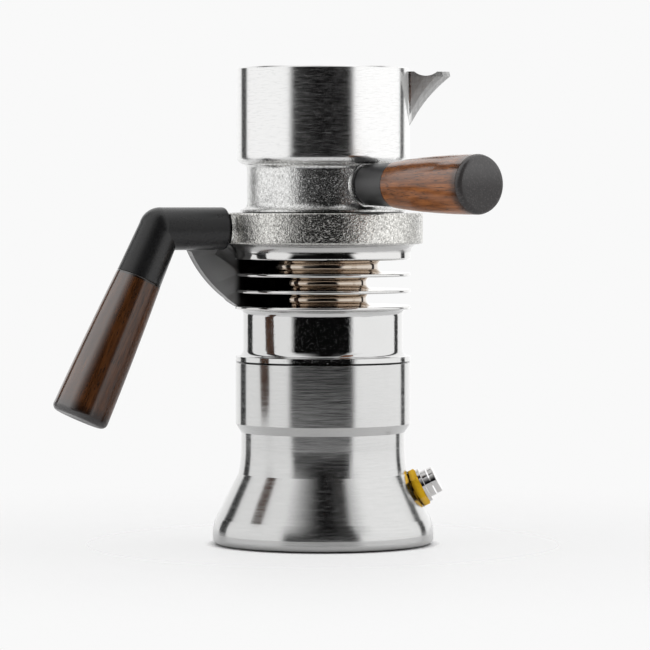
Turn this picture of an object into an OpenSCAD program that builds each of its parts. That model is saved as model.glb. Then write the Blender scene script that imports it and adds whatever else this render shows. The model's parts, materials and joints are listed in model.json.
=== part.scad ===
// Stovetop espresso maker with two stacked boilers, a finned cooler and a pouring cup.
// Millimetres, Z up, origin in the middle of the foot.

/* [Boiler] */
// Diameter over the foot of the boiler
foot_d = 100.6; // [99:0.2:103]
// Diameter of the boiler, the flanges and the fins
body_d = 79.6; // [79:0.2:81]
// Height of the joint between boiler and upper body
boiler_h = 82.8; // [81:0.2:86]

/* [Cooler] */
// Thickness of one cooling fin
fin_t = 1.4; // [1.2:0.1:1.8]
// Distance from fin to fin
fin_pitch = 7.45; // [7.2:0.05:8]
// Outside diameter of the cast collar
ring_d = 91; // [90.6:0.2:94]

/* [Cup] */
// Outside diameter of the cup
cup_d = 78.6; // [77.6:0.2:80]
// Inside height of the cup
cup_h = 39.9; // [37:0.1:46]
// Inside depth of the coffee basket
basket_depth = 24; // [23:0.5:28]
// Reach of the pouring lip from the axis
spout_reach = 58; // [56:0.2:60]

/* [Handles] */
// Diameter of the black arm
arm_d = 19.2; // [18.4:0.2:19.6]
// Distance from the axis to the elbow of the arm
arm_reach = 78; // [76:0.2:84]
// Length of the wooden grip on the arm
main_grip_l = 68.6; // [62:0.2:76]
// Length of the wooden grip on the cup
cup_grip_l = 59.4; // [54:0.2:66]
// Largest diameter of both grips
grip_d = 26.1; // [25.5:0.1:27]

/* [Directions] */
// Direction of the arm seen from above
arm_turn = 201; // [196:1:206]
// Direction of the cup handle seen from above
handle_turn = -53.5; // [-60:0.5:-48]
// Direction of the safety valve seen from above
valve_turn = -3; // [-8:1:2]

/* [Fits] */
// Gap between parts that pass each other freely
gap = 0.3; // [0.25:0.05:0.35]
// Radial gap of a stem that slides in its guide
run_gap = 0.05; // [0.03:0.01:0.08]

/* [Hidden] */
$fn = 96;
eps = 0.01;

// boiler
foot_r = foot_d / 2;
body_r = body_d / 2;
foot_corner = 3;
flank_a = 26.57;
flank_round = 19;
z_crease = 32.5;
crease_r = foot_r - 11.85;
flank_corner_z = z_crease - (foot_r - crease_r) / tan(flank_a);
flank_cut = flank_round * tan(flank_a / 2);
neck_r = 37.3;
neck_flare = 55;
neck_flare_h = 11.5;
z_neck_top = 51;
chamfer_h = 4;
bore_r = 33.5;
spigot_l = 10;
seal_t = 2;
seal_in = 29.9;
z_ledge = boiler_h - spigot_l - seal_t;
ledge_in = 29.4;
floor_t = 5;
wall_t = 4.2;
edge_break = 0.2;

// safety valve on the flank
valve_z = 24.4;
spot_depth = 1.2;
valve_r0 = crease_r + (z_crease - valve_z) * tan(flank_a) - spot_depth / cos(flank_a);
inner_boss_r = 8;
inner_boss_l = 6;
sv_washer_t = 0.8;
sv_washer_r = 8.9;
spot_r = sv_washer_r + gap;
sv_hex = 15.2;
sv_hex_h = 4;
sv_shank_r = 5.2;
sv_shank_l = 8;
sv_bore_r = 4;
sv_seat_r = 2;
sv_seat_u = -5;
sv_stem_r = 2;
sv_disc_r = 3.6;
sv_disc_t = 1.6;
sv_collar_r = 8;
sv_collar_t = 1.6;
sv_neck_r = 6.3;
sv_neck_t = 2.5;
sv_plug_l = 2;
sv_slit = 0.6;
sv_knob_r = 6.1;
sv_knob_t = 2.5;
u_hex = sv_washer_t;
u_collar = u_hex + sv_hex_h;
u_neck = u_collar + sv_collar_t;
u_slit = u_neck + sv_neck_t;
u_knob = u_slit + sv_slit;
sv_wire = 0.4;
sv_coil_r = 3;
sv_curls = 5;

// upper body: second boiler with the drum wall
spigot_r = bore_r - gap;
spigot_in = 29.4;
flange_t = 2.8;
seam_d = 1.6;
seam_h = 0.5;
drum_r = body_r - 3.4;
drum_fillet = 2.9;
drum_in = 32.6;
drum_h = 24.3;
plate_t = 5;
z_plate_top = boiler_h + 1;
z_sink = boiler_h + drum_h;
lid_l = 2;
vent_r = 1.5;

// cooler
core_r = 19.7;
core_top_r = 25;
groove_fillet = 2.9;
head_flange_t = 3.2;
head_flare = 3.9;
head_edge = 0.8;
z_head_flange = z_sink + 3 * fin_pitch;
z_head = z_head_flange + head_flange_t + head_flare;
head_r = body_r + 3;
plate_ring_t = 3;
plateau_r = 35.3;
z_plate = z_head + plate_ring_t;

// brewing valve in the middle of the second boiler
bv_hole_r = 6.5;
bv_flange_r = 9;
bv_flange_t = 3;
bv_hex = 13;
bv_top = boiler_h + 18;
bv_bottom = boiler_h - 10;
bv_bore_r = 4.4;
bv_seat_r = 2.2;
bv_seat_z = boiler_h - 2;
bv_disc_r = 4;
bv_disc_t = 2;
bv_stem_r = 1.6;
bv_stem_top = boiler_h + 13;
bv_cap_l = 6;
bv_wire = 0.45;
bv_coil_r = 2.9;
bv_curls = 5;
dip_r = 4;
dip_in = 2.6;
dip_socket = 4;
dip_z = floor_t + 3;
dip_notch_w = 2;
dip_notch_h = 1.5;

// cooling coil
coil_r = 22;
coil_wire = 1.6;
coil_bore = 0.9;
coil_turns = 2.25;
coil_pitch = 5;
coil_bend = 3.2;
coil_z = boiler_h + 7;
coil_end_y = 14;
block_w = 8;
block_l = 6;
riser_r = 1.5;

// collar with bayonet
ring_r = ring_d / 2;
ring_in = 41.2;
lug_space = 7.05;
lip_t = 4.1;
lip_in = 37.2;
lugs = 3;
lip_open = 50;
lug_w = 42;
lug_t = 3.4;
lug_r = ring_in - 0.5;
skirt_r = lip_in - 0.6;
z_lip = z_plate + lug_space;
z_ring = z_lip + lip_t;
ring_edge = 0.9;
arm_z = z_head + 7.1;
arm_r = arm_d / 2;
boss_x = 47.3;
boss_r = arm_r + 0.4;
boss_inset = 0.5;
screw_count = 6;
screw_circle = 37.7;
screw_r = 1.5;
screw_head_r = 2.5;
screw_head_t = 2.4;
screw_l = 5;

// brewing head
gasket_t = 4;
gasket_in = 29.3;
gasket_r = 35;
z_gasket = z_plate + gasket_t;
screen_r = 28.7;
screen_t = 1.1;
screen_h = 2.9;
screen_rings = 4;
screen_step = 5.4;
screen_hole_r = 0.8;
stud_r = 2.5;
stud_l = 10;
stud_head_r = 4.5;
stud_head_t = 1.8;

// cup casting
rim_t = 1;
basket_wall = 0.9;
basket_r = 29.2;
basket_rim_r = 35.4;
z_skirt = z_gasket + rim_t;
chamber_r = basket_r + basket_wall + 0.5;
z_basket_top = z_gasket + basket_depth + basket_wall;
z_roof = z_basket_top + 2.6;
cup_floor_t = 5.4;
z_cup_floor = z_roof + cup_floor_t;
z_rim = z_cup_floor + cup_h;
cup_r = cup_d / 2;
cup_wall = 2.6;
cup_in = cup_r - cup_wall;
cup_corner = 3.6;
rim_break = 0.6;
neck_out = chamber_r + 4;
z_flange = z_ring + gap + 0.2;
flange_out = 37.8;
flange_fillet = 3.2;
z_cup_low = z_roof + 1.6;
neck_fillet = 2.2;
outlet_r = 5;
outlet_in = 3.4;
outlet_h = 24;
z_handle = z_ring + 12.6;
spout_root = z_rim - 26.4;
spout_drop = 1.7;
spout_nose = 0.9;
spout_low_w = 9;
spout_w = 14;
spout_slices = 12;
spout_steps = 16;
spout_wall = 2;
spout_back = 30;
scoop_r = 8;
scoop_x = cup_r + 7.2;
scoop_depth = 3.6;

// handles
leg_a = 24.5;
leg_l = 24.2;
grip_r = grip_d / 2;
grip_start_r = grip_r - 2.6;
grip_end_round = 2.7;
main_swell = 0.3;
cup_swell = 0.8;
grip_steps = 6;
grip_edge = 0.6;
rod_r = 3;
arm_stud_in = 4;
arm_stud_l = 26;
leg_rod_l = 14;
grip_rod_l = 45;
ferrule_x = neck_out + 0.5;
ferrule_l = 20.5;
ferrule_r = arm_r - 0.35;
grip_x = ferrule_x + ferrule_l;
handle_boss_r = ferrule_r + 1;
boss_flare = 3.6;
boss_flare_x = ferrule_x - boss_flare - 0.9;
handle_rod_in = 3;

// guard below the arm: a thick curved band in front of a thinner web
guard_cx = 10.6;
guard_cz = z_plate + 17.2;
guard_out = 55.4;
guard_back = -13.4;
guard_web = -10.4;
guard_front = -7.4;
guard_slope = 32.5;
guard_edge_x = 49.5;
guard_edge_z = z_head_flange + 2.4;
hollow_cx = 11.5;
hollow_cz = z_sink + 18.9;
hollow_r = 25.6;
guard_gap = 0.3;
slot_gap = 0.12;
tongue_x = boss_x + 3.5;
tongue_l = 10;
tongue_in = 2.2;
tongue_h = 4.5;

// Fill of an inside corner at (x, y); sx and sy point into the open side.
module corner_fill(x, y, r, sx, sy) {
    difference() {
        translate([x + (sx < 0 ? -r : -eps), y + (sy < 0 ? -r : -eps)])
            square(r + eps);
        translate([x + sx * r, y + sy * r])
            circle(r);
    }
}

// Piece to take off an outside corner at (x, y); sx and sy point into the solid.
module corner_cut(x, y, r, sx, sy) {
    difference() {
        translate([x + (sx < 0 ? -r : -1), y + (sy < 0 ? -r : -1)])
            square(r + 1);
        translate([x + sx * r, y + sy * r])
            circle(r);
    }
}

// Solid ring between two radii.
module ring(r_in, r_out, h) {
    difference() {
        cylinder(r = r_out, h = h);
        translate([0, 0, -1])
            cylinder(r = r_in, h = h + 2);
    }
}

function unit(v) = v / norm(v);
function tangent(p, i) = unit(p[min(i + 1, len(p) - 1)] - p[max(i - 1, 0)]);
function side_of(t) = unit(cross(t, [0, 0, 1]));

// Round wire of six sides along a path.
module wire(p, r) {
    n = len(p);
    pts = [
        for (i = [0 : n - 1])
            let (t = tangent(p, i), s = side_of(t), u = cross(s, t))
                for (k = [0 : 5]) p[i] + r * (cos(60 * k) * s + sin(60 * k) * u)
    ];
    skin = [
        for (i = [0 : n - 2]) for (k = [0 : 5])
            let (a = 6 * i + k, b = 6 * i + (k + 1) % 6)
                each [[a, b, b + 6], [a, b + 6, a + 6]]
    ];
    ends = [[5, 4, 3, 2, 1, 0], [for (k = [0 : 5]) 6 * (n - 1) + k]];
    polyhedron(points = pts, faces = concat(skin, ends), convexity = 8);
}

// Coil spring that stands on z0 and ends at z1.
module spring(z0, z1, mean_r, wire_r, curls) {
    steps = 8 * curls;
    rise = z1 - z0 - 2 * wire_r;
    echo(spring_gap = rise / curls - 2 * wire_r);
    wire([for (i = [0 : steps])
        [mean_r * cos(45 * i), mean_r * sin(45 * i), z0 + wire_r + rise * i / steps]], wire_r);
}

// Frame of the safety valve: Z runs out of the flank.
module at_valve() {
    rotate([0, 0, valve_turn])
        translate([valve_r0, 0, valve_z])
            rotate([0, 90 - flank_a, 0])
                children();
}

// Frame of the arm: X runs outward at the height of the arm.
module at_arm() {
    rotate([0, 0, arm_turn])
        translate([0, 0, arm_z])
            children();
}

// Frame of the leg below the elbow: Z runs down along the grip.
module at_leg() {
    at_arm()
        translate([arm_reach, 0, 0])
            rotate([0, 180 - leg_a, 0])
                children();
}

// Frame of the cup handle: Z runs outward along the handle.
module at_handle() {
    rotate([0, 0, handle_turn])
        translate([0, 0, z_handle])
            rotate([0, 90, 0])
                children();
}

module foot_profile() {
    difference() {
        polygon([[0, 0], [foot_r, 0], [foot_r, flank_corner_z], [crease_r, z_crease], [0, z_crease]]);
        corner_cut(foot_r, 0, foot_corner, -1, 1);
        difference() {
            polygon([
                [foot_r + 1, flank_corner_z],
                [foot_r + 1, flank_corner_z - flank_cut],
                [foot_r - flank_round, flank_corner_z - flank_cut],
                [foot_r - flank_cut * sin(flank_a), flank_corner_z + flank_cut * cos(flank_a)],
                [foot_r + 1, flank_corner_z + flank_cut]
            ]);
            translate([foot_r - flank_round, flank_corner_z - flank_cut])
                circle(flank_round + 2 * eps, $fn = 200);
        }
    }
}

module boiler_profile() {
    foot_profile();
    difference() {
        translate([0, z_crease - 1])
            square([crease_r + 2, z_neck_top - z_crease + 1]);
        translate([neck_r + neck_flare, z_crease + neck_flare_h])
            circle(neck_flare, $fn = 400);
        translate([neck_r, z_crease + neck_flare_h])
            square([10, 40]);
    }
    polygon([
        [0, z_neck_top - eps],
        [neck_r, z_neck_top - eps],
        [body_r, z_neck_top + chamfer_h],
        [body_r, boiler_h - edge_break],
        [body_r - edge_break, boiler_h],
        [0, boiler_h]
    ]);
}

module boiler_cavity() {
    low_r = foot_r - 6;
    mid_r = neck_r - wall_t + 0.4;
    difference() {
        polygon([
            [0, floor_t],
            [low_r, floor_t],
            [low_r, floor_t + 4],
            [mid_r, z_crease],
            [mid_r, z_ledge - 9],
            [ledge_in, z_ledge - 4],
            [ledge_in, z_ledge + eps],
            [0, z_ledge + eps]
        ]);
        corner_cut(low_r, floor_t, 3, -1, 1);
    }
    translate([0, z_ledge])
        square([bore_r, boiler_h - z_ledge + 1]);
}

module boiler_base() {
    color([0.78, 0.78, 0.77])
        difference() {
            rotate_extrude()
                boiler_profile();
            difference() {
                rotate_extrude()
                    boiler_cavity();
                at_valve()
                    translate([0, 0, -inner_boss_l])
                        cylinder(r = inner_boss_r, h = inner_boss_l);
            }
            at_valve()
                cylinder(r = spot_r, h = 10);
            at_valve()
                translate([0, 0, -20])
                    cylinder(r = sv_shank_r, h = 30);
        }
}

module safety_washer() {
    color([0.80, 0.62, 0.20])
        at_valve()
            ring(sv_shank_r, sv_washer_r, sv_washer_t);
}

module safety_body() {
    color([0.83, 0.63, 0.12])
        at_valve()
            difference() {
                union() {
                    intersection() {
                        translate([0, 0, u_hex])
                            cylinder(d = sv_hex / cos(30), h = sv_hex_h, $fn = 6);
                        rotate_extrude()
                            polygon([
                                [0, u_hex],
                                [sv_hex / 2 + 0.2, u_hex],
                                [sv_hex / 2 + 1.3, u_hex + 0.7],
                                [sv_hex / 2 + 1.3, u_collar - 0.7],
                                [sv_hex / 2 + 0.2, u_collar],
                                [0, u_collar]
                            ]);
                    }
                    translate([0, 0, -sv_shank_l])
                        cylinder(r = sv_shank_r, h = sv_shank_l + u_hex + eps);
                }
                translate([0, 0, sv_seat_u])
                    cylinder(r = sv_bore_r, h = 30);
                translate([0, 0, -sv_shank_l - 1])
                    cylinder(r = sv_seat_r, h = 30);
            }
}

module safety_bonnet() {
    color([0.75, 0.75, 0.76])
        at_valve()
            difference() {
                union() {
                    translate([0, 0, u_collar - sv_plug_l])
                        cylinder(r = sv_bore_r, h = sv_plug_l + eps);
                    rotate_extrude()
                        difference() {
                            translate([0, u_collar])
                                square([sv_collar_r, sv_collar_t]);
                            corner_cut(sv_collar_r, u_neck, 0.4, -1, -1);
                        }
                    translate([0, 0, u_neck - eps])
                        cylinder(r = sv_neck_r, h = sv_neck_t + eps);
                }
                translate([0, 0, u_collar - sv_plug_l - 1])
                    cylinder(r = sv_stem_r + run_gap, h = 20);
            }
}

module safety_stem() {
    color([0.78, 0.78, 0.79])
        at_valve()
            rotate_extrude()
                difference() {
                    union() {
                        translate([0, sv_seat_u])
                            square([sv_disc_r, sv_disc_t]);
                        translate([0, sv_seat_u])
                            square([sv_stem_r, u_knob - sv_seat_u + 1]);
                        translate([0, u_knob])
                            square([sv_knob_r, sv_knob_t]);
                    }
                    corner_cut(sv_knob_r, u_knob + sv_knob_t, 0.5, -1, -1);
                }
}

module safety_spring() {
    color([0.6, 0.6, 0.62])
        at_valve()
            spring(sv_seat_u + sv_disc_t, u_collar - sv_plug_l, sv_coil_r, sv_wire, sv_curls);
}

module boiler_seal() {
    color([0.85, 0.85, 0.82])
        translate([0, 0, z_ledge])
            ring(seal_in, spigot_r, seal_t);
}

module second_boiler_profile() {
    difference() {
        union() {
            translate([0, boiler_h - spigot_l])
                square([spigot_r, spigot_l + 1]);
            translate([0, boiler_h])
                square([body_r, flange_t]);
            translate([0, boiler_h])
                square([drum_r, drum_h]);
            corner_fill(drum_r, boiler_h + flange_t, drum_fillet, 1, 1);
            corner_fill(drum_r, z_sink, drum_fillet, 1, -1);
        }
        translate([body_r - seam_d, boiler_h - 1])
            square([seam_d + 1, 1 + seam_h]);
        translate([0, boiler_h - spigot_l - 1])
            square([spigot_in, spigot_l + 2 - plate_t]);
        difference() {
            translate([0, z_plate_top])
                square([drum_in, drum_h]);
            corner_fill(drum_in, z_plate_top, 2.5, -1, 1);
        }
    }
}

module second_boiler() {
    color([0.82, 0.81, 0.79])
        difference() {
            rotate_extrude()
                second_boiler_profile();
            translate([0, 0, boiler_h - 20])
                cylinder(r = bv_hole_r, h = 40);
            rotate([0, 0, 90])
                translate([drum_in - 2, 0, z_sink - 5.5])
                    rotate([0, 90, 0])
                        cylinder(r = vent_r, h = 10);
        }
}

module sink_profile() {
    translate([0, z_sink - lid_l])
        square([drum_in, lid_l + eps]);
    for (i = [0 : 2])
        translate([0, z_sink + i * fin_pitch])
            square([body_r, fin_t]);
    for (i = [0 : 2]) {
        r = i == 2 ? core_top_r : core_r;
        low = z_sink + i * fin_pitch + fin_t;
        high = z_sink + (i + 1) * fin_pitch;
        translate([0, low - eps])
            square([r, high - low + 2 * eps]);
        corner_fill(r, low, groove_fillet, 1, 1);
        corner_fill(r, high, groove_fillet, 1, -1);
    }
    difference() {
        translate([0, z_head_flange])
            square([body_r, head_flange_t + eps]);
        corner_cut(body_r, z_head_flange, head_edge, -1, 1);
    }
    difference() {
        translate([0, z_head_flange + head_flange_t])
            square([head_r, head_flare]);
        translate([body_r + head_flare, z_head_flange + head_flange_t])
            circle(head_flare);
    }
    translate([0, z_head - eps])
        square([plateau_r, plate_ring_t + eps]);
}

module heat_sink() {
    color([0.82, 0.81, 0.79])
        difference() {
            union() {
                rotate_extrude()
                    sink_profile();
                translate([-coil_bend - block_w / 2, coil_end_y - block_l, coil_top() - 3])
                    cube([block_w, block_l, z_sink - coil_top() + 3]);
            }
            translate([-coil_bend, coil_end_y - block_l / 2, coil_top()])
                cylinder(r = riser_r, h = 60);
            translate([-coil_bend, coil_end_y - block_l / 2, coil_top()])
                rotate([-90, 0, 0])
                    cylinder(r = coil_bore, h = block_l);
            translate([0, 0, z_plate - stud_l])
                cylinder(r = stud_r, h = 30);
            for (i = [0 : screw_count - 1])
                rotate([0, 0, 360 * i / screw_count])
                    translate([screw_circle, 0, z_head - screw_l])
                        cylinder(r = screw_r, h = 30);
        }
}

module dip_tube() {
    color([0.75, 0.75, 0.76])
        difference() {
            translate([0, 0, dip_z])
                ring(dip_in, dip_r, bv_bottom + dip_socket - dip_z);
            translate([-2 * dip_r, -dip_notch_w / 2, dip_z - 1])
                cube([4 * dip_r, dip_notch_w, dip_notch_h + 1]);
        }
}

module brew_valve_body() {
    color([0.80, 0.64, 0.30])
        difference() {
            union() {
                translate([0, 0, bv_bottom])
                    cylinder(r = bv_hole_r, h = z_plate_top - bv_bottom + eps);
                translate([0, 0, z_plate_top])
                    cylinder(r = bv_flange_r, h = bv_flange_t);
                translate([0, 0, z_plate_top])
                    cylinder(d = bv_hex / cos(30), h = bv_top - z_plate_top, $fn = 6);
            }
            translate([0, 0, bv_bottom - 1])
                cylinder(r = dip_r, h = dip_socket + 1);
            translate([0, 0, bv_bottom])
                cylinder(r = bv_seat_r, h = 40);
            translate([0, 0, bv_seat_z])
                cylinder(r = bv_bore_r, h = 40);
            translate([0, -coil_bend, coil_z])
                rotate([0, 90, 0])
                    cylinder(r = coil_bore, h = 20);
        }
}

module brew_valve_cap() {
    color([0.80, 0.64, 0.30])
        difference() {
            translate([0, 0, bv_top - bv_cap_l])
                cylinder(r = bv_bore_r, h = bv_cap_l);
            translate([0, 0, bv_top - bv_cap_l - 1])
                cylinder(r = bv_stem_r + run_gap, h = bv_cap_l - 2);
            translate([0, 0, bv_top - 2])
                cylinder(d = 4 / cos(30), h = 3, $fn = 6);
        }
}

module brew_poppet() {
    color([0.75, 0.75, 0.76])
        translate([0, 0, bv_seat_z]) {
            cylinder(r = bv_disc_r, h = bv_disc_t);
            cylinder(r = bv_stem_r, h = bv_stem_top - bv_seat_z);
        }
}

module brew_spring() {
    color([0.6, 0.6, 0.62])
        spring(bv_seat_z + bv_disc_t, bv_top - bv_cap_l, bv_coil_r, bv_wire, bv_curls);
}

function coil_top() = coil_z + coil_turns * coil_pitch;
function coil_path() = concat(
    [[bv_hex / 2, -coil_bend, coil_z]],
    [for (a = [-90 : 18 : -18])
        [coil_r - coil_bend + coil_bend * cos(a), coil_bend * sin(a), coil_z]],
    [for (i = [0 : 24 * coil_turns])
        [coil_r * cos(15 * i), coil_r * sin(15 * i), coil_z + coil_pitch * i / 24]],
    [for (a = [18 : 18 : 90])
        [-coil_bend * sin(a), coil_r - coil_bend + coil_bend * cos(a), coil_top()]],
    [[-coil_bend, coil_end_y, coil_top()]]
);

module cooling_coil() {
    color([0.78, 0.50, 0.34])
        wire(coil_path(), coil_wire);
    echo(coil_gap = coil_pitch - 2 * coil_wire);
}

module collar_profile() {
    difference() {
        union() {
            translate([plateau_r, z_head])
                square([ring_r - plateau_r, plate_ring_t]);
            translate([ring_in, z_head])
                square([ring_r - ring_in, z_ring - z_head]);
            translate([lip_in, z_lip])
                square([ring_r - lip_in, lip_t]);
        }
        corner_cut(ring_r, z_head, ring_edge, -1, 1);
        corner_cut(ring_r, z_ring, ring_edge, -1, -1);
    }
}

module group_collar() {
    color([0.74, 0.74, 0.72])
        difference() {
            union() {
                rotate_extrude()
                    collar_profile();
                at_arm()
                    translate([ring_in + 1, 0, 0])
                        rotate([0, 90, 0])
                            intersection() {
                                cylinder(r = boss_r, h = boss_x - ring_in - 1);
                                translate([-z_ring + arm_z + boss_inset, -20, -1])
                                    cube([z_ring - z_head - 2 * boss_inset, 40, 20]);
                            }
            }
            for (i = [0 : lugs - 1])
                rotate([0, 0, 360 * i / lugs + 180 / lugs - lip_open / 2])
                    translate([0, 0, z_lip - 0.4])
                        rotate_extrude(angle = lip_open)
                            translate([lip_in - 1, 0])
                                square([ring_in - lip_in + 1.3, lip_t + 1]);
            for (i = [0 : screw_count - 1])
                rotate([0, 0, 360 * i / screw_count])
                    translate([screw_circle, 0, z_head - 1])
                        cylinder(r = screw_r, h = plate_ring_t + 2);
            at_arm()
                translate([boss_x - arm_stud_in, 0, 0])
                    rotate([0, 90, 0])
                        cylinder(r = rod_r, h = 20);
        }
}

module collar_screws() {
    color([0.6, 0.6, 0.62])
        for (i = [0 : screw_count - 1])
            rotate([0, 0, 360 * i / screw_count])
                translate([screw_circle, 0, 0])
                    difference() {
                        union() {
                            translate([0, 0, z_head - screw_l])
                                cylinder(r = screw_r, h = screw_l + plate_ring_t + eps);
                            translate([0, 0, z_plate])
                                cylinder(r = screw_head_r, h = screw_head_t);
                        }
                        translate([0, 0, z_plate + screw_head_t - 1.2])
                            cylinder(d = 2.5 / cos(30), h = 2, $fn = 6);
                    }
}

module group_gasket() {
    color([0.15, 0.15, 0.15])
        translate([0, 0, z_plate])
            rotate_extrude()
                difference() {
                    translate([gasket_in, 0])
                        square([gasket_r - gasket_in, gasket_t]);
                    corner_cut(gasket_in, gasket_t, 0.6, 1, -1);
                }
}

module shower_screen() {
    color([0.78, 0.78, 0.79])
        translate([0, 0, z_plate])
            difference() {
                rotate_extrude()
                    difference() {
                        square([screen_r, screen_h]);
                        translate([-1, -1])
                            square([screen_r - screen_t + 1, screen_h - screen_t + 1]);
                        corner_cut(screen_r, screen_h, 0.8, -1, -1);
                    }
                cylinder(r = stud_r, h = 20);
                for (k = [1 : screen_rings])
                    for (i = [0 : 6 * k - 1])
                        rotate([0, 0, 60 * i / k])
                            translate([1 + screen_step * k, 0, 0])
                                cylinder(r = screen_hole_r, h = 20, $fn = 16);
            }
}

module screen_screw() {
    color([0.6, 0.6, 0.62])
        difference() {
            union() {
                translate([0, 0, z_plate - stud_l])
                    cylinder(r = stud_r, h = stud_l + screen_h + eps);
                translate([0, 0, z_plate + screen_h])
                    cylinder(r = stud_head_r, h = stud_head_t);
            }
            translate([0, 0, z_plate + screen_h + 0.8])
                cylinder(d = 3 / cos(30), h = 2, $fn = 6);
        }
}

module handle_arm() {
    leg_r = grip_start_r - 0.1;
    color([0.10, 0.10, 0.10])
        difference() {
            union() {
                at_arm()
                    translate([boss_x, 0, 0])
                        rotate([0, 90, 0])
                            rotate_extrude()
                                difference() {
                                    square([arm_r, arm_reach - boss_x]);
                                    corner_cut(arm_r, 0, 1.5, -1, 1);
                                }
                at_leg() {
                    sphere(arm_r + 0.04);
                    cylinder(r1 = arm_r - 0.06, r2 = leg_r, h = leg_l);
                }
            }
            at_arm()
                translate([boss_x - 1, 0, 0])
                    rotate([0, 90, 0])
                        cylinder(r = rod_r, h = arm_stud_l - arm_stud_in + 1);
            at_leg()
                translate([0, 0, leg_l - leg_rod_l])
                    cylinder(r = rod_r, h = 30);
            at_arm()
                guard_tongue();
        }
}

module arm_stud() {
    color([0.6, 0.6, 0.62])
        at_arm()
            translate([boss_x - arm_stud_in, 0, 0])
                rotate([0, 90, 0])
                    cylinder(r = rod_r, h = arm_stud_l);
}

// Tongue of the guard that sits in a slot in the rear side of the arm.
module guard_tongue() {
    translate([tongue_x, guard_back + 1, -tongue_in - tongue_h])
        cube([tongue_l, guard_front + tongue_in - guard_back - 1, tongue_h]);
}

// Plate of the guard from y0 to y1 with the rounded outer edge.
module guard_sheet(y0, y1) {
    translate([0, y1, -arm_z])
        rotate([90, 0, 0])
            linear_extrude(y1 - y0)
                difference() {
                    intersection() {
                        translate([guard_cx, guard_cz])
                            circle(guard_out, $fn = 240);
                        translate([0, arm_z - 60])
                            square([100, 60 - tongue_in]);
                    }
                    children();
                }
}

// Part of the plate above the slanted edge and inside the hollow of the band.
module guard_hollow() {
    translate([guard_edge_x, guard_edge_z])
        rotate(guard_slope)
            translate([-60, 0])
                square([60, 40]);
    translate([hollow_cx, hollow_cz])
        circle(hollow_r, $fn = 160);
}

// Room that the guard leaves around the fins, the core and the collar.
module guard_clearance() {
    translate([0, z_sink - 30])
        square([body_r + guard_gap, fin_t + 30 + slot_gap]);
    for (i = [0 : 2]) {
        r = (i == 2 ? core_top_r : core_r) + guard_gap;
        low = z_sink + i * fin_pitch + fin_t + slot_gap;
        high = z_sink + (i + 1) * fin_pitch - slot_gap;
        translate([0, low - eps])
            square([r, high - low + 2 * eps]);
        corner_fill(r, low, groove_fillet - slot_gap, 1, 1);
        corner_fill(r, high, groove_fillet - slot_gap, 1, -1);
        translate([0, high])
            square([body_r + guard_gap, fin_t + 2 * slot_gap]);
    }
    translate([0, z_head_flange])
        square([body_r + guard_gap, 30]);
    difference() {
        translate([0, z_head_flange + head_flange_t])
            square([head_r + guard_gap, head_flare]);
        translate([body_r + head_flare, z_head_flange + head_flange_t])
            circle(head_flare - guard_gap);
    }
    translate([0, z_head - guard_gap])
        square([ring_r + guard_gap, 30]);
}

module handle_guard() {
    color([0.14, 0.14, 0.14])
        difference() {
            at_arm() {
                guard_sheet(guard_back, guard_web);
                guard_sheet(guard_back, guard_front)
                    guard_hollow();
                guard_tongue();
            }
            difference() {
                at_arm()
                    rotate([0, 90, 0])
                        cylinder(r = arm_r, h = arm_reach + 20);
                at_arm()
                    guard_tongue();
            }
            at_arm()
                rotate([0, 90, 0])
                    cylinder(r = boss_r + guard_gap, h = boss_x + guard_gap);
            rotate_extrude()
                guard_clearance();
        }
}

// Radius of a grip at the share f of its length, with the swelling of its side.
function grip_side(f, swell) = grip_start_r + (grip_r - grip_start_r) * f + 4 * swell * f * (1 - f);

// Tapered round grip from z = 0 to z = l with a rounded end.
module grip_body(l, swell) {
    side = [for (i = [0 : grip_steps]) let (f = i / grip_steps) [grip_side(f, swell), l * f]];
    rotate_extrude()
        difference() {
            polygon(concat([[0, 0]], side, [[0, l]]));
            corner_cut(grip_start_r + eps, 0, grip_edge, -1, 1);
            corner_cut(grip_r - 0.1, l, grip_end_round, -1, -1);
        }
}

module main_grip() {
    color([0.42, 0.26, 0.17])
        difference() {
            at_leg()
                translate([0, 0, leg_l])
                    grip_body(main_grip_l, main_swell);
            at_leg()
                cylinder(r = rod_r, h = leg_l + grip_rod_l);
        }
}

module main_grip_rod() {
    color([0.6, 0.6, 0.62])
        at_leg()
            translate([0, 0, leg_l - leg_rod_l])
                cylinder(r = rod_r, h = leg_rod_l + grip_rod_l);
}

// Outline of the beak at height f (0 at its root, 1 at its top), shrunk by the wall t.
function beak_lean(f) = 0.72 * f + 0.42 * pow(f, 2.6) - 17.5 * pow(max(0, f - spout_nose), 2);
function beak_reach(f, t) = cup_r + (spout_reach - cup_r) * beak_lean(f) - t * 1.2;
function beak_half(f, t) = (spout_low_w + (spout_w - spout_low_w) * pow(f, 0.8)) / 2 - t;
function beak_slice(f, t, z) = [
    for (i = [0 : spout_steps])
        let (s = 2 * i / spout_steps - 1)
            [spout_back + (beak_reach(f, t) - spout_back) * (1 - pow(abs(s), 3)), beak_half(f, t) * s, z]
];

module beak(z0, z1, t) {
    m = spout_steps + 1;
    pts = [
        for (j = [0 : spout_slices])
            let (f = j / spout_slices)
                each beak_slice(f, t, z0 + (z1 - z0) * f)
    ];
    sides = [
        for (j = [0 : spout_slices - 1]) for (i = [0 : m - 1])
            [j * m + i, (j + 1) * m + i, (j + 1) * m + (i + 1) % m, j * m + (i + 1) % m]
    ];
    ends = [
        [for (i = [0 : m - 1]) i],
        [for (i = [0 : m - 1]) spout_slices * m + m - 1 - i]
    ];
    polyhedron(points = pts, faces = concat(sides, ends), convexity = 6);
}

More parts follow.
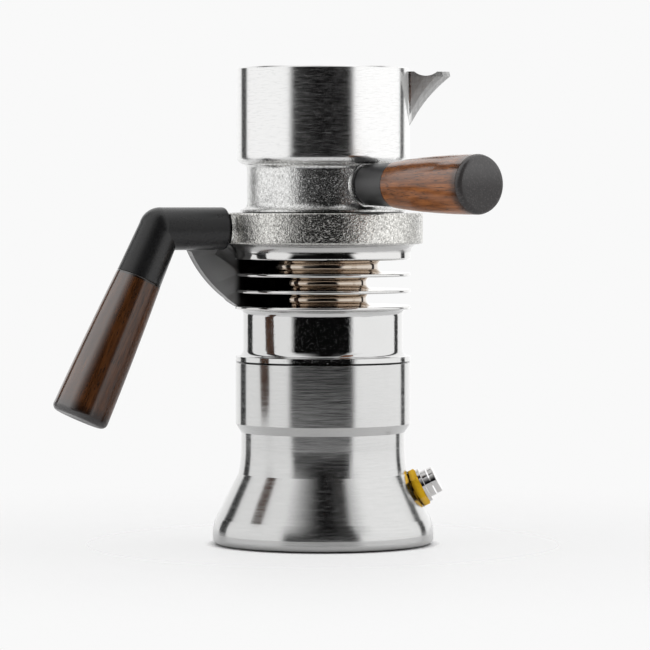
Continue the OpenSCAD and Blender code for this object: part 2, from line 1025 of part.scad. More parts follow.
module cup_profile() {
    difference() {
        union() {
            translate([0, z_skirt])
                square([skirt_r, z_flange - z_skirt + 1]);
            translate([0, z_flange])
                square([flange_out, 0.9]);
            translate([0, z_flange])
                square([neck_out, z_rim - z_flange]);
            corner_fill(neck_out, z_flange + 0.9, flange_fillet, 1, 1);
            translate([0, z_cup_low])
                square([cup_r, z_rim - z_cup_low]);
            corner_fill(neck_out, z_cup_low, neck_fillet, 1, -1);
        }
        corner_cut(cup_r, z_cup_low, cup_corner, -1, 1);
        polygon([
            [cup_r + 1, z_rim - rim_break - 1],
            [cup_r + 1, z_rim + 1],
            [cup_r - rim_break - 1, z_rim + 1]
        ]);
        translate([0, z_skirt - 1])
            square([chamber_r, z_roof - z_skirt + 1]);
        difference() {
            translate([0, z_cup_floor])
                square([cup_in, cup_h + 1]);
            corner_fill(cup_in, z_cup_floor, 4, -1, 1);
        }
    }
}

// Saddle that carries the handle on the neck.
module handle_boss() {
    rotate_extrude() {
        translate([0, chamber_r - 2])
            square([handle_boss_r, ferrule_x - chamber_r + 2]);
        translate([0, chamber_r - 2])
            square([handle_boss_r + boss_flare, boss_flare_x - chamber_r + 2]);
        corner_fill(handle_boss_r, boss_flare_x, boss_flare, 1, 1);
    }
}

module brew_cup() {
    color([0.80, 0.80, 0.78])
        difference() {
            union() {
                rotate_extrude()
                    cup_profile();
                difference() {
                    union() {
                        beak(spout_root, z_rim - spout_drop, 0);
                        for (i = [0 : lugs - 1])
                            rotate([0, 0, 360 * i / lugs - lug_w / 2])
                                translate([0, 0, z_lip - lug_t])
                                    rotate_extrude(angle = lug_w)
                                        translate([skirt_r - 1, 0])
                                            square([lug_r - skirt_r + 1, lug_t]);
                        at_handle()
                            handle_boss();
                    }
                    translate([0, 0, z_cup_floor])
                        cylinder(r = cup_in, h = cup_h + 10);
                    translate([0, 0, z_skirt - 10])
                        cylinder(r = chamber_r, h = z_roof - z_skirt + 10);
                }
            }
            beak(spout_root + 3, z_rim + 0.5, spout_wall);
            translate([scoop_x, spout_w, z_rim + scoop_r - scoop_depth])
                rotate([90, 0, 0])
                    cylinder(r = scoop_r, h = 2 * spout_w);
            translate([0, 0, z_roof - 1])
                cylinder(r = outlet_r, h = cup_floor_t + 2);
            at_handle()
                translate([0, 0, ferrule_x - handle_rod_in])
                    cylinder(r = rod_r, h = 20);
        }
}

module coffee_outlet() {
    color([0.78, 0.78, 0.79])
        difference() {
            union() {
                translate([0, 0, z_roof])
                    cylinder(r = outlet_r, h = cup_floor_t + outlet_h - 3);
                translate([0, 0, z_cup_floor + outlet_h - 3])
                    rotate_extrude()
                        difference() {
                            square([outlet_r, 3]);
                            corner_cut(outlet_r, 3, 2.5, -1, -1);
                        }
            }
            translate([0, 0, z_roof - 1])
                cylinder(r = outlet_in, h = cup_floor_t + outlet_h - 1);
            translate([-10, 0, z_cup_floor + outlet_h - 5])
                rotate([0, 90, 0])
                    cylinder(r = 1.8, h = 20);
        }
}

module filter_basket() {
    color([0.78, 0.78, 0.79])
        difference() {
            rotate_extrude()
                difference() {
                    union() {
                        translate([0, z_gasket])
                            square([basket_r + basket_wall, basket_depth + basket_wall]);
                        translate([0, z_gasket])
                            square([basket_rim_r, rim_t]);
                    }
                    translate([0, z_gasket - 1])
                        square([basket_r, basket_depth + 1]);
                    corner_cut(basket_r + basket_wall, z_basket_top, 0.8, -1, -1);
                }
            for (k = [1 : 4])
                for (i = [0 : 6 * k - 1])
                    rotate([0, 0, 60 * i / k])
                        translate([6 * k, 0, z_basket_top - 5])
                            cylinder(r = 0.7, h = 10, $fn = 16);
        }
}

module cup_ferrule() {
    color([0.14, 0.14, 0.14])
        at_handle()
            difference() {
                translate([0, 0, ferrule_x])
                    rotate_extrude()
                        difference() {
                            polygon([
                                [0, 0],
                                [ferrule_r, 0],
                                [grip_start_r - 0.5, ferrule_l],
                                [0, ferrule_l]
                            ]);
                            corner_cut(ferrule_r, 0, 1.5, -1, 1);
                        }
                cylinder(r = rod_r, h = grip_x + 1);
            }
}

module cup_grip() {
    color([0.42, 0.26, 0.17])
        difference() {
            at_handle()
                translate([0, 0, grip_x])
                    grip_body(cup_grip_l, cup_swell);
            at_handle()
                cylinder(r = rod_r, h = grip_x + grip_rod_l);
        }
}

module cup_handle_rod() {
    color([0.6, 0.6, 0.62])
        at_handle()
            translate([0, 0, ferrule_x - handle_rod_in])
                cylinder(r = rod_r, h = grip_x + grip_rod_l - ferrule_x + handle_rod_in);
}

boiler_base();
safety_washer();
safety_body();
safety_bonnet();
safety_stem();
safety_spring();
boiler_seal();
second_boiler();
heat_sink();
dip_tube();
brew_valve_body();
brew_valve_cap();
brew_poppet();
brew_spring();
cooling_coil();
group_collar();
collar_screws();
group_gasket();
shower_screen();
screen_screw();
handle_arm();
arm_stud();
handle_guard();
main_grip();
main_grip_rod();
brew_cup();
coffee_outlet();
filter_basket();
cup_ferrule();
cup_grip();
cup_handle_rod();
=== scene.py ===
import json
import math

import bpy
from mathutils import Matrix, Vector

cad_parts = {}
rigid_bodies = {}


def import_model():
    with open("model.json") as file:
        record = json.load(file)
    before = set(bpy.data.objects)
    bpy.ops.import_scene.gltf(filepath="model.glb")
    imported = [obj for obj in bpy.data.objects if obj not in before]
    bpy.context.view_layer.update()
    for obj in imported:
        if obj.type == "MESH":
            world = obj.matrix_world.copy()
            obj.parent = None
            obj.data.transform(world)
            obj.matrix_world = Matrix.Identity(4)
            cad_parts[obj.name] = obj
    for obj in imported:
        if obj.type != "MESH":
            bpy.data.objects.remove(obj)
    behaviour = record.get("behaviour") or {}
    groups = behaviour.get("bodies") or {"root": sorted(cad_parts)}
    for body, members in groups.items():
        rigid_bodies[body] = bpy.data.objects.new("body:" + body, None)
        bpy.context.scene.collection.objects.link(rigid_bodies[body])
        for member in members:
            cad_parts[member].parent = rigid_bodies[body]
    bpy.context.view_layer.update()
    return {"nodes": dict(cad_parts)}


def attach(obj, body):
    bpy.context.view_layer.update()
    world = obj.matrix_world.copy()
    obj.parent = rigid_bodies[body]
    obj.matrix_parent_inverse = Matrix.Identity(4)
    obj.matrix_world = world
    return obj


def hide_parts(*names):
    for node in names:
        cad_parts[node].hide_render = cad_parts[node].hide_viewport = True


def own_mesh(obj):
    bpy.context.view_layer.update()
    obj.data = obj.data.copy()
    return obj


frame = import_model()
nodes = frame["nodes"]
scene = bpy.context.scene
scene.view_settings.view_transform = "Standard"

# Sizes of the object in metres and degrees, as the solids have them.
ARM_TURN, ARM_REACH, ARM_Z = 201.0, 0.0780, 0.14365
LEG_LEAN, LEG_L, MAIN_GRIP_L = 24.5, 0.0242, 0.0686
HANDLE_TURN, HANDLE_Z, CUP_GRIP_X, CUP_GRIP_L = -53.5, 0.1633, 0.0556, 0.0594
RELIEF_AXIS, RELIEF_SEAT = (0.893163, -0.046809, 0.447291), 0.0482
FOOT_R, BOILER_Z, BOILER_RIM_R, DRUM_FLANGE_R = 0.0505, 0.0828, 0.0380, 0.0374
FIN_Z, FIN_PITCH, FIN_THICK = 0.1071, 0.00745, 0.0014
TOP_FLANGE_Z, TOP_FLANGE_THICK = FIN_Z + 3.0 * FIN_PITCH, 0.0032
FIN_RIM_R, GROOVE_R, GUARD_SLOT_R = 0.0385, 0.0335, 0.0415
CUP_BOTTOM_Z, CUP_SKIRT_Z, CUP_R = 0.17265, 0.15105, 0.0393

# Copies of solids: the distance at which corners are welded, how much the guard's copy swells
# and within which radius.
WELD, SWELL, SWELL_R = 0.000002, 0.00045, 0.0450

# Photograph: picture size and focal length in picture points, the camera's place and its aim.
PICTURE, FOCAL, SENSOR = 650.0, 3650.0, 36.0
EYE, AIM = (0.0009, -1.661, 0.158), (0.0009, 0.0, 0.0996)
BACKDROP_WHITE, TABLE_R = 0.947, 0.55

# Repeats per metre of the fine brushing round boiler and cup.
BRUSHING = (230.0, 230.0, 2600.0)


class Socket:
    """A socket of a shader tree. Arithmetic on it adds Math nodes."""

    def __init__(self, tree, socket=None):
        self.tree = tree
        self.socket = socket

    def node(self, kind, settings=None, sockets=None, out=0):
        """Add a node: its settings first, then the values or links of its sockets."""
        made = self.tree.nodes.new(kind)
        for name, value in (settings or {}).items():
            if name == "stops":
                ramp = made.color_ramp
                while len(ramp.elements) < len(value):
                    ramp.elements.new(0.5)
                for element, (place, colour) in zip(ramp.elements, value):
                    element.position = place
                    element.color = (*colour, 1.0)
            else:
                setattr(made, name, value)
        for name, value in (sockets or {}).items():
            if isinstance(value, Socket):
                self.tree.links.new(value.socket, made.inputs[name])
            else:
                made.inputs[name].default_value = value
        return Socket(self.tree, made.outputs[out])

    def maths(self, operation, *values):
        return self.node("ShaderNodeMath", {"operation": operation}, dict(enumerate(values)))

    def __add__(self, other):
        return self.maths("ADD", self, other)

    def __sub__(self, other):
        return self.maths("SUBTRACT", self, other)

    def __rsub__(self, other):
        return self.maths("SUBTRACT", other, self)

    def __mul__(self, other):
        return self.maths("MULTIPLY", self, other)

    def __pow__(self, other):
        return self.maths("POWER", self, other)

    def __abs__(self):
        return self.maths("ABSOLUTE", self)

    __radd__ = __add__
    __rmul__ = __mul__


def smooth(value, low, high):
    """0 below low and 1 above high, with a soft step between."""
    return value.node("ShaderNodeMapRange", {"interpolation_type": "SMOOTHSTEP"},
                      {"Value": value, "From Min": low, "From Max": high})


def tint(factor, first, second):
    """Colour from first to second as factor goes from 0 to 1."""
    first, second = (c if isinstance(c, Socket) else (*c, 1.0) for c in (first, second))
    return factor.node("ShaderNodeMix", {"data_type": "RGBA"}, {0: factor, 6: first, 7: second}, 2)


def shade(colour, times, plus=0.0):
    """A colour made darker or lighter."""
    return tuple(min(1.0, c * times + plus) for c in colour)


def grey(level):
    return (level, level, level)


def grain(place, scale, detail=2.0, roughness=0.5, distortion=0.0):
    """Cloudy noise from 0 to 1, with scale repeats per metre, the same all ways or one per axis."""
    vector = place.node("ShaderNodeVectorMath", {"operation": "MULTIPLY"},
                        {0: place, 1: scale if isinstance(scale, tuple) else (scale,) * 3})
    return vector.node("ShaderNodeTexNoise", None,
                       {"Vector": vector, "Scale": 1.0, "Detail": detail,
                        "Roughness": roughness, "Distortion": distortion})


def split(vector):
    """The three parts of a vector."""
    outputs = vector.node("ShaderNodeSeparateXYZ", None, {0: vector}).socket.node.outputs
    return [Socket(vector.tree, outputs[i]) for i in range(3)]


def from_axis(x, y):
    """Distance from an axis across which x and y are measured."""
    return (x * x + y * y) ** 0.5


def along_arm(x, y):
    """Distance from the upright axis in the arm's direction."""
    turn = math.radians(ARM_TURN)
    return x * math.cos(turn) + y * math.sin(turn)


def across_arm(x, y):
    """Distance from the arm's upright plane, towards the front."""
    turn = math.radians(ARM_TURN)
    return y * math.cos(turn) - x * math.sin(turn)


def bump(height, strength, distance, under=None):
    """A normal from a height, on top of the normal under it."""
    sockets = {"Height": height, "Strength": strength, "Distance": distance}
    if under is not None:
        sockets["Normal"] = under
    return height.node("ShaderNodeBump", None, sockets)


def finish(name):
    """A new material, its shader, and the object's own coordinates."""
    made = bpy.data.materials.new(name)
    made.use_nodes = True
    shader = made.node_tree.nodes["Principled BSDF"]
    place = Socket(made.node_tree).node("ShaderNodeTexCoord", None, None, 3)
    return made, shader, place


def feed(shader, **sockets):
    """Set or link sockets of the shader; an underscore stands for a space."""
    for name, value in sockets.items():
        target = shader.inputs[name.replace("_", " ")]
        if isinstance(value, Socket):
            value.tree.links.new(value.socket, target)
        elif isinstance(value, tuple):
            target.default_value = (*value, 1.0)
        else:
            target.default_value = value


def turned_metal(name, colour, roughness, strength):
    """Metal brushed round the axis: fine lines, duller streaks, painted shade at the foot and in the
    joint groove.
    """
    made, shader, place = finish(name)
    x, y, z = split(place)
    fine = grain(place, BRUSHING, 3.0, 0.65)
    line = grain(place, (80.0, 80.0, 1900.0))
    smudge = grain(place, 34.0, 3.0, 0.6)
    tone = (fine - 0.5) * 0.6 + (line - 0.5) * 0.4 + 0.5
    clean = tint(tone, shade(colour, 0.82), shade(colour, 1.18))
    # Painted shade: a dark contact line at the foot, a faint darkening above it, and the joint
    # groove darkened.
    painted_contact_shadow = (1.0 - smooth(z, 0.0005, 0.0009)) * 0.88
    painted_foot_shade = (1.0 - smooth(z, 0.0010, 0.0030)) * 0.10
    painted_joint_shade = smooth(z, BOILER_Z - 0.00018, BOILER_Z - 0.00004) \
        * smooth(from_axis(x, y), BOILER_RIM_R, BOILER_RIM_R + 0.0004) * 0.7
    uneven = (line - 0.5) * 0.20 + (fine - 0.5) * 0.08 + (smudge - 0.5) * 0.05
    feed(shader,
         Base_Color=tint(painted_contact_shadow + painted_foot_shade + painted_joint_shade, clean, grey(0.012)),
         Metallic=1.0 - smooth(fine, 0.50, 0.68) * 0.10,
         Roughness=uneven + roughness,
         Anisotropic=0.75, Anisotropic_Rotation=0.25,
         Normal=bump(fine * 0.6 + line * 0.5, strength, 0.00006))
    return made


def polish(place):
    """Mirror polish: (smudge, added roughness, height of the faint turning marks and specks)."""
    turning = grain(place, (40.0, 40.0, 2600.0))
    smudge = grain(place, 60.0, 4.0, 0.65)
    speck = smooth(grain(place, 1500.0, 2.0, 0.6), 0.66, 0.74)
    return smudge, smooth(smudge, 0.45, 0.75) * 0.05 + speck * 0.10, turning + speck * 0.6


def drum_metal(name, colour, roughness):
    """Polished, finely mottled drum with a duller flange at its foot and painted shade in the joint
    below.
    """
    made, shader, place = finish(name)
    x, y, z = split(place)
    smudge, dull, marks = polish(place)
    flange = 1.0 - smooth(z, BOILER_Z + 0.0024, BOILER_Z + 0.0032)
    # Painted shade in the joint below the drum's flange.
    joint = (1.0 - smooth(z, BOILER_Z + 0.0006, BOILER_Z + 0.0008)) \
        * smooth(from_axis(x, y), DRUM_FLANGE_R, DRUM_FLANGE_R + 0.0005) * 0.98
    peel = grain(place, 1300.0, 2.0, 0.6)
    clean = tint(smudge, shade(colour, 0.94), colour)
    feed(shader,
         Base_Color=tint(joint, clean, grey(0.01)),
         Metallic=1.0,
         Roughness=dull + flange * 0.035 + smooth(peel, 0.52, 0.70) * 0.16 + roughness,
         Normal=bump(peel + marks * 0.2, 0.30, 0.00004))
    return made


def cooler_metal(name, outside, inside, roughness):
    """Polished cooler: painted warm reflection in its grooves, rounded rims, painted shade where the
    guard sits.
    """
    made, shader, place = finish(name)
    x, y, z = split(place)
    smudge, dull, marks = polish(place)
    far = from_axis(x, y)
    side = across_arm(x, y)
    # Painted shade: the fins go near black in the guard's sector.
    guard_painted_shade = smooth(side, -0.0160, -0.0146) * (1.0 - smooth(side, -0.0088, -0.0080)) \
        * smooth(along_arm(x, y), 0.012, 0.018)
    rim = smooth(far, FIN_RIM_R, FIN_RIM_R + 0.0007)
    bulge = 0.0
    for low, thick, round_by in ((FIN_Z, FIN_THICK, 0.00042),
                                 (FIN_Z + FIN_PITCH, FIN_THICK, 0.00042),
                                 (FIN_Z + 2.0 * FIN_PITCH, FIN_THICK, 0.00042),
                                 (TOP_FLANGE_Z, TOP_FLANGE_THICK, 0.00012)):
        off = (z - (low + thick / 2.0)) * (2.0 / thick)
        bulge = place.maths("MAXIMUM", 1.0 - off * off, 0.0) * round_by + bulge
    top_flange = smooth(z, TOP_FLANGE_Z - 0.00085, TOP_FLANGE_Z + 0.00015)
    flare = smooth(z, TOP_FLANGE_Z + 0.0030, TOP_FLANGE_Z + 0.0040)
    # The tan inside the grooves is painted warm reflection.
    clean = tint(smooth(far, GROOVE_R, GROOVE_R + 0.0040), inside,
                 tint(smudge, outside, shade(outside, 0.94)))
    # Painted darker reflection on the flare above the top flange.
    clean = tint(flare, clean, shade(outside, 0.80))
    feed(shader,
         Base_Color=tint(guard_painted_shade, clean, grey(0.008)),
         Metallic=1.0,
         Roughness=dull + flare * 0.14 + guard_painted_shade * 0.4 + top_flange * 0.03 + roughness,
         Normal=bump(marks, 0.05, 0.00004, bump(bulge * rim, 1.0, 1.0)))
    return made


def cast_surface(place):
    """Grain of a sand casting: (height, tone, added roughness)."""
    coarse = grain(place, 700.0, 2.0, 0.6, 0.3)
    fine = grain(place, 1600.0, 1.0, 0.6)
    pits = smooth(grain(place, 900.0), 0.60, 0.72)
    waves = grain(place, 120.0)
    height = coarse * 0.45 + fine * 0.6 + waves * 0.9 - pits * 0.4
    tone = (fine - 0.5) * 0.9 + (coarse - 0.5) * 0.7 + 0.5 - pits * 0.25
    return height, smooth(tone, 0.1, 0.9), (waves - 0.5) * 0.1 + (fine - 0.5) * 0.15


def cast_metal(name, dark, light):
    """Rough sand-cast metal."""
    made, shader, place = finish(name)
    height, tone, uneven = cast_surface(place)
    feed(shader,
         Base_Color=tint(tone, dark, light),
         Metallic=1.0,
         Roughness=uneven + 0.21,
         Normal=bump(height, 0.60, 0.0005))
    return made


def cup_metal(name, dark, light):
    """The cup casting: brushed round above, rough as cast from the neck down, its lip sanded."""
    made, shader, place = finish(name)
    x, y, z = split(place)
    brushed = smooth(z, CUP_BOTTOM_Z + 0.0005, CUP_BOTTOM_Z + 0.0040)
    as_cast = 1.0 - brushed
    lip = smooth(from_axis(x, y), CUP_R + 0.0003, CUP_R + 0.0015) \
        * smooth(z, CUP_BOTTOM_Z + 0.005, CUP_BOTTOM_Z + 0.010)
    # Painted shade below the skirt line, where the cup sits down in the collar.
    skirt = 1.0 - smooth(z, CUP_SKIRT_Z, CUP_SKIRT_Z + 0.0002)
    height, tone, uneven = cast_surface(place)
    fine = grain(place, BRUSHING, 3.0, 0.65)
    coarse = grain(place, (110.0, 110.0, 1900.0))
    clean = tint((fine - 0.5) * 0.3 + (coarse - 0.5) * 0.2 + 0.5,
                 (0.855, 0.855, 0.85), (0.895, 0.895, 0.89))
    sanded = tint(grain(place, (1100.0, 1100.0, 60.0), 3.0, 0.6),
                  (0.34, 0.34, 0.335), (0.66, 0.66, 0.655))
    face = tint(lip, tint(brushed, tint(tone, dark, light), clean), sanded)
    streak = (coarse - 0.5) * 0.20 + (fine - 0.5) * 0.12 + 0.19
    feed(shader,
         Base_Color=tint(skirt * 0.93, face, grey(0.01)),
         Metallic=1.0 - smooth(fine, 0.50, 0.68) * brushed * 0.15,
         Roughness=brushed * streak + as_cast * (uneven + 0.24) + lip * 0.28,
         Anisotropic=0.6, Anisotropic_Rotation=0.25,
         Normal=bump(fine * 0.6 + coarse * 0.5, brushed * 0.12, 0.00006,
                     bump(height, as_cast * 0.40, 0.0005)))
    return made


def moulded_plastic(name, colour, roughness, gloss, sheen, slot_r=None):
    """Black moulded plastic with a fine texture and rub marks.

    The guard has slots within the radius slot_r: painted black shade fills them, and its front is
    painted lighter, more so near the fins, while its back stays black.
    """
    made, shader, place = finish(name)
    texture = grain(place, 1500.0, 2.0, 0.6)
    cloud = grain(place, 130.0, 4.0, 0.6)
    rub = smooth(grain(place, 420.0, 3.0, 0.7), 0.62, 0.76)
    face = tint(cloud * 0.7 + rub * 0.5, colour, shade(colour, 1.6, 0.004))
    coat = sheen
    if slot_r:
        x, y, z = split(place)
        far = from_axis(x, y)
        # Painted shade: the slots within slot_r go near black.
        clear_of_slot_shade = smooth(far, slot_r - 0.004, slot_r)
        # Painted light: the front is lighter than the black back, and lighter still near the fins.
        painted_light_near_fins = 1.0 - smooth(far, slot_r + 0.002, slot_r + 0.018)
        painted_lit_front = smooth(across_arm(x, y), -0.0130, -0.0092)
        face = tint(painted_lit_front, (0.012, 0.012, 0.0125), tint(painted_light_near_fins, face, shade(colour, 2.1)))
        face = tint(clear_of_slot_shade, grey(0.002), face)
        coat = clear_of_slot_shade * sheen
    feed(shader,
         Base_Color=face,
         Roughness=(cloud - 0.5) * 0.16 + roughness - rub * 0.06,
         Specular_IOR_Level=gloss,
         Coat_Weight=coat, Coat_Roughness=0.42, Coat_IOR=1.6,
         Normal=bump(texture, 0.45, 0.00012))
    return made


def walnut(name, turn, lean, start, length, light, sheen):
    """Oiled walnut turned to a grip: grain along its axis w, open pores, grey end grain, and painted
    shade towards the rounded end and in the joint at the ferrule.
    """
    made, shader, place = finish(name)
    rotation = (0.0, math.radians(lean), math.radians(turn))
    along = place.node("ShaderNodeMapping", {"vector_type": "TEXTURE"},
                       {"Vector": place, "Location": start, "Rotation": rotation})
    u, v, w = split(along)
    wander = grain(along, (45.0, 45.0, 14.0))
    heart_u, heart_v, ring_rate = 0.021, -0.012, 2300.0
    depth = from_axis(u - heart_u, v - heart_v) + (wander - 0.5) * 0.011
    rings = depth.maths("SINE", depth * ring_rate) * 0.5 + 0.5
    fibre = grain(along, (1500.0, 1500.0, 42.0), 3.0, 0.6)
    figure = grain(along, (210.0, 210.0, 18.0), 3.0, 0.55)
    pores = smooth(grain(along, (2600.0, 2600.0, 190.0), 1.0, 0.5), 0.60, 0.70)
    mottle = grain(along, (420.0, 420.0, 75.0), 3.0, 0.6)
    tone = rings * 0.07 + figure * 0.34 + (mottle - 0.5) * 0.50 + (fibre - 0.5) * 0.50 + 0.27
    wood = tone.node("ShaderNodeValToRGB", {"stops": [
        (0.15, shade((0.030, 0.010, 0.0035), light)),
        (0.42, shade((0.085, 0.029, 0.0085), light)),
        (0.64, shade((0.165, 0.058, 0.017), light)),
        (0.90, shade((0.270, 0.105, 0.034), light))]}, {0: tone})
    wood = tint(pores * 0.8, wood, (0.010, 0.005, 0.003))
    # Painted shade darkens the wood towards the rounded end and in the joint at the ferrule.
    rounded = smooth(w, length - 0.0085, length - 0.0028) * 0.80
    joint = (1.0 - smooth(w, 0.0009, 0.0014)) * 0.95
    wood = tint(rounded + joint, wood, (0.008, 0.004, 0.003))
    end = smooth(w, length - 0.0032, length - 0.0018)
    dots = smooth(grain(along, (1500.0, 1500.0, 60.0), 2.0, 0.6), 0.50, 0.68)
    end_grain = tint(dots * 0.7 + rings * 0.06, (0.062, 0.058, 0.058), (0.115, 0.107, 0.106))
    oiled = 1.0 - smooth(u, -0.009, 0.003) * 0.75
    feed(shader,
         Base_Color=tint(end, wood, end_grain),
         Roughness=(fibre - 0.5) * 0.14 + pores * 0.12 + end * 0.06 + 0.33,
         Specular_IOR_Level=0.08,
         Coat_Weight=(1.0 - end * 0.6) * oiled * sheen, Coat_Roughness=0.13, Coat_IOR=2.3,
         Normal=bump(fibre * 0.5 - pores * 0.8, 0.42, 0.00010))
    return made


def bright_metal(name, colour, roughness, scratch, painted_seat_shade=None):
    """Small turned fitting with fine tool marks; the seat colour, if given, is painted shade where
    it meets the boiler.
    """
    made, shader, place = finish(name)
    marks = grain(place, 1300.0, 4.0, 0.7)
    face = tint(grain(place, 260.0), shade(colour, 0.88), colour)
    if painted_seat_shade:
        along = place.node("ShaderNodeVectorMath", {"operation": "DOT_PRODUCT"},
                           {0: place, 1: RELIEF_AXIS}, 1)
        # Painted shade on the fitting where it meets the boiler.
        near_seat = 1.0 - smooth(along, RELIEF_SEAT, RELIEF_SEAT + 0.0028)
        face = tint(near_seat * 0.9, face, painted_seat_shade)
    feed(shader,
         Base_Color=face,
         Metallic=1.0,
         Roughness=(marks - 0.5) * (roughness * 0.8) + roughness,
         Normal=bump(marks, scratch, 0.00005))
    return made


def soft_ring(name, colour, roughness):
    """Rubber of the seals: matt, slightly dusty."""
    made, shader, place = finish(name)
    dust = grain(place, 700.0, 4.0, 0.7)
    feed(shader,
         Base_Color=tint(dust, colour, shade(colour, 1.5, 0.01)),
         Roughness=(dust - 0.5) * 0.2 + roughness,
         Normal=bump(dust, 0.2, 0.0001))
    return made


def leg_point(reach):
    """A point on the axis of the arm's leg, that far from the elbow."""
    turn, lean = math.radians(ARM_TURN), math.radians(180.0 - LEG_LEAN)
    out = ARM_REACH + reach * math.sin(lean)
    return (out * math.cos(turn), out * math.sin(turn), ARM_Z + reach * math.cos(lean))


def handle_point(reach):
    """A point on the axis of the cup's handle, that far from the cup's axis."""
    turn = math.radians(HANDLE_TURN)
    return (reach * math.cos(turn), reach * math.sin(turn), HANDLE_Z)


finishes = {name: made_by(name, *values) for name, made_by, *values in (
    ("boiler_metal", turned_metal, (0.645, 0.645, 0.64), 0.182, 0.18),
    ("drum_metal", drum_metal, (0.70, 0.70, 0.695), 0.045),
    ("cooler_metal", cooler_metal, (0.74, 0.735, 0.725), (0.58, 0.51, 0.44), 0.045),
    ("cast_metal", cast_metal, (0.30, 0.295, 0.275), (1.0, 0.99, 0.955)),
    ("cup_metal", cup_metal, (0.54, 0.54, 0.53), (1.0, 1.0, 0.99)),
    ("valve_brass", bright_metal, (0.90, 0.53, 0.025), 0.09, 0.1, (0.16, 0.075, 0.006)),
    ("inner_brass", bright_metal, (0.80, 0.58, 0.26), 0.28, 0.25),
    ("valve_steel", bright_metal, (0.78, 0.77, 0.76), 0.05, 0.06),
    ("inner_steel", bright_metal, (0.66, 0.66, 0.67), 0.30, 0.25),
    ("outlet_steel", bright_metal, (0.79, 0.78, 0.76), 0.2, 0.2),
    ("coil_copper", bright_metal, (0.80, 0.45, 0.30), 0.28, 0.25),
    ("seal_rubber", soft_ring, (0.62, 0.60, 0.55), 0.6),
    ("gasket_rubber", soft_ring, (0.016, 0.016, 0.017), 0.62),
    ("arm_plastic", moulded_plastic, (0.008, 0.008, 0.0085), 0.28, 0.40, 0.22),
    ("ferrule_plastic", moulded_plastic, (0.022, 0.022, 0.023), 0.42, 0.8, 0.35),
    # The guard's grey is painted light on its front; its back keeps the plastic's black.
    ("guard_plastic", moulded_plastic, (0.17, 0.17, 0.171), 0.42, 0.12, 1.0, GUARD_SLOT_R),
    # The cup grip's light of 2.65 against the main grip's 0.80 is partly paler wood and partly
    # painted light.
    ("main_grip_wood", walnut, ARM_TURN, 180.0 - LEG_LEAN, leg_point(LEG_L), MAIN_GRIP_L,
     0.80, 1.0),
    ("cup_grip_wood", walnut, HANDLE_TURN, 90.0, handle_point(CUP_GRIP_X), CUP_GRIP_L,
     2.65, 0.95),
)}
worn_by = {
    "boiler_metal": ("boiler_base",),
    "drum_metal": ("second_boiler",),
    "cooler_metal": ("heat_sink",),
    "cast_metal": ("group_collar",),
    "cup_metal": ("brew_cup",),
    "valve_brass": ("safety_washer", "safety_body"),
    "inner_brass": ("brew_valve_body", "brew_valve_cap"),
    "valve_steel": ("safety_bonnet", "safety_stem"),
    "inner_steel": ("safety_spring", "dip_tube", "brew_poppet", "brew_spring", "collar_screws",
                    "shower_screen", "screen_screw", "arm_stud", "main_grip_rod", "filter_basket",
                    "cup_handle_rod"),
    "outlet_steel": ("coffee_outlet",),
    "coil_copper": ("cooling_coil",),
    "seal_rubber": ("boiler_seal",),
    "gasket_rubber": ("group_gasket",),
    "arm_plastic": ("handle_arm",),
    "ferrule_plastic": ("cup_ferrule",),
    "guard_plastic": ("handle_guard",),
    "main_grip_wood": ("main_grip",),
    "cup_grip_wood": ("cup_grip",),
}
for name, wearers in worn_by.items():
    for node in wearers:
        for material_slot in nodes[node].material_slots:
            material_slot.material = finishes[name]


def solid_copy(node, name):
    """A copy of a solid as one welded mesh, at the origin, to be worked on."""
    bpy.ops.object.select_all(action="DESELECT")
    nodes[node].select_set(True)
    bpy.context.view_layer.objects.active = nodes[node]
    bpy.ops.object.duplicate()
    piece = bpy.context.object
    piece.name = name
    bpy.ops.object.parent_clear(type="CLEAR_KEEP_TRANSFORM")
    bpy.ops.object.transform_apply(location=True, rotation=True, scale=True)
    bpy.ops.object.mode_set(mode="EDIT")
    bpy.ops.mesh.select_all(action="SELECT")
    bpy.ops.mesh.remove_doubles(threshold=WELD)
    bpy.ops.mesh.normals_make_consistent(inside=False)
    bpy.ops.object.mode_set(mode="OBJECT")
    return piece


def valve_spring(node, body):
    """A smooth-shaded copy of a valve's spring, riding on the given body in place of the solid."""
    piece = solid_copy(node, node + "_coils")
    bpy.ops.object.shade_smooth_by_angle(angle=math.radians(50.0))
    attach(piece, body)
    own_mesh(piece)
    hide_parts(node)


def snug_guard():
    """The guard pressed home: its slots close the hairlines of light round the fins."""
    piece = solid_copy("handle_guard", "guard_pressed_home")
    inner = piece.vertex_groups.new(name="inner")
    inner.add([v.index for v in piece.data.vertices if math.hypot(v.co.x, v.co.y) < SWELL_R],
              1.0, "REPLACE")
    swell = piece.modifiers.new("swell", "DISPLACE")
    swell.vertex_group = "inner"
    swell.mid_level = 0.0
    swell.strength = SWELL
    bpy.ops.object.modifier_apply(modifier="swell")
    bpy.ops.object.shade_smooth_by_angle(angle=math.radians(35.0))
    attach(piece, "upper")
    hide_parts("handle_guard")


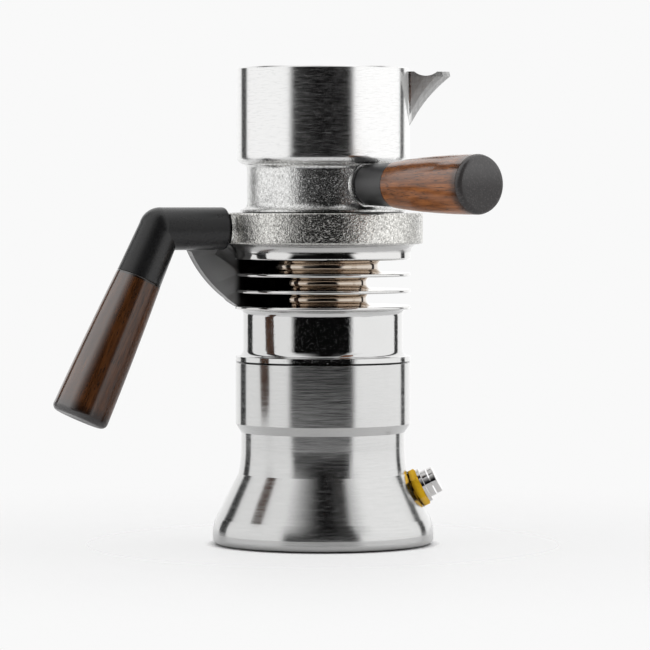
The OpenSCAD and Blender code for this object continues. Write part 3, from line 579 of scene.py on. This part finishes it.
def studio_world():
    """White tent with a dark front and two dark gaps; the camera itself sees plain white."""
    world = bpy.data.worlds.new("tent")
    scene.world = world
    world.use_nodes = True
    tree = world.node_tree
    background = tree.nodes["Background"]
    start = Socket(tree)
    x, y, z = split(start.node("ShaderNodeTexCoord", None, None, 0))
    degrees = 180.0 / math.pi
    turn = start.maths("ARCTAN2", x, y * -1.0) * degrees
    rise = start.maths("ARCSINE", z) * degrees
    # Low down the front has firm edges; higher up it fades out to the left and steps to the right.
    half_width = 44.0 - smooth(rise, -8.0, 8.0) * 3.5
    low = smooth(abs(turn + 1.5) - half_width, -5.0, 5.0)
    to_left = start.maths("MAXIMUM", (turn + 3.0) * (-1.0 / 48.0), 0.0)
    left = start.maths("MINIMUM", to_left, 1.0) ** 1.6
    right = smooth(turn, 31.0, 40.0) * 0.55 + smooth(turn, 36.0, 62.0) * 0.42 \
        + smooth(turn, 13.0, 18.0) * 0.03
    high = smooth(rise, 3.0, 30.0)
    below_top = 1.0 - smooth(rise, 70.0, 84.0)
    front = (1.0 - low * (1.0 - high) - (left + right) * high) * below_top
    gap_height = 1.0 - smooth(rise, 45.0, 70.0)
    left_gap = (1.0 - smooth(abs(turn + 131.0), 7.0, 10.0)) * gap_height
    right_gap = (1.0 - smooth(abs(turn - 131.0), 4.5, 7.5)) * gap_height
    gaps = start.maths("MAXIMUM", left_gap * 0.97, right_gap * 0.95)
    dark = start.maths("MAXIMUM", front, gaps)
    brighter_right = smooth(turn, -60.0, 60.0) * 0.14 + 1.0
    dimmer_top = 1.0 - smooth(rise, 72.0, 90.0) * 0.12
    tent = (1.0 - dark * 0.997) * brighter_right * dimmer_top
    camera_ray = start.node("ShaderNodeLightPath", None, None, 0)
    level = camera_ray * BACKDROP_WHITE + (1.0 - camera_ray) * tent
    tree.links.new(level.socket, background.inputs["Color"])
    background.inputs["Strength"].default_value = 1.0


def studio_floor():
    """Pale round table top that fades out to the white behind it."""
    bpy.ops.object.select_all(action="DESELECT")
    bpy.ops.mesh.primitive_circle_add(vertices=96, radius=TABLE_R, fill_type="NGON",
                                      location=(0.0, 0.0, 0.0))
    floor = bpy.context.object
    floor.name = "table_top"
    made, shader, place = finish("table_white")
    tree = made.node_tree
    x, y, z = split(place)
    far = from_axis(x, y)
    feed(shader, Base_Color=(0.93, 0.93, 0.935), Roughness=0.45, Specular_IOR_Level=0.2)
    clear = place.node("ShaderNodeBsdfTransparent")
    camera_ray = place.node("ShaderNodeLightPath", None, None, 0)
    seen_fade = smooth(far, FOOT_R - 0.0005, FOOT_R + 0.0040) * 0.72 + smooth(far, 0.06, 0.36) * 0.28
    fade = camera_ray * seen_fade + (1.0 - camera_ray) * smooth(far, 0.36, TABLE_R - 0.01)
    mixed = place.node("ShaderNodeMixShader", None,
                       {0: fade, 1: Socket(tree, shader.outputs[0]), 2: clear})
    tree.links.new(mixed.socket, tree.nodes["Material Output"].inputs["Surface"])
    floor.data.materials.append(made)


def aimed(thing, eye, aim):
    """Put a camera or lamp at a place and turn it to another."""
    thing.location = eye
    thing.rotation_euler = (Vector(aim) - Vector(eye)).to_track_quat("-Z", "Y").to_euler()
    scene.collection.objects.link(thing)


def studio_camera():
    """Long lens a little above the object, as in the photograph."""
    lens = bpy.data.cameras.new("camera")
    lens.sensor_width = SENSOR
    lens.lens = SENSOR * FOCAL / PICTURE
    lens.clip_end = 20.0
    camera = bpy.data.objects.new("camera", lens)
    aimed(camera, EYE, AIM)
    scene.camera = camera


def studio_fill():
    """Large soft light beside the camera; the metals do not mirror it."""
    light = bpy.data.lights.new("front_fill", "AREA")
    light.shape = "DISK"
    light.size = 1.2
    light.energy = 2.2
    lamp = bpy.data.objects.new("front_fill", light)
    aimed(lamp, (-1.2, -1.1, 0.75), (0.0, 0.0, 0.1))
    lamp.visible_glossy = False
    lamp.visible_camera = False


snug_guard()
valve_spring("safety_spring", "base")
valve_spring("brew_spring", "upper")
studio_world()
studio_floor()
studio_fill()
studio_camera()
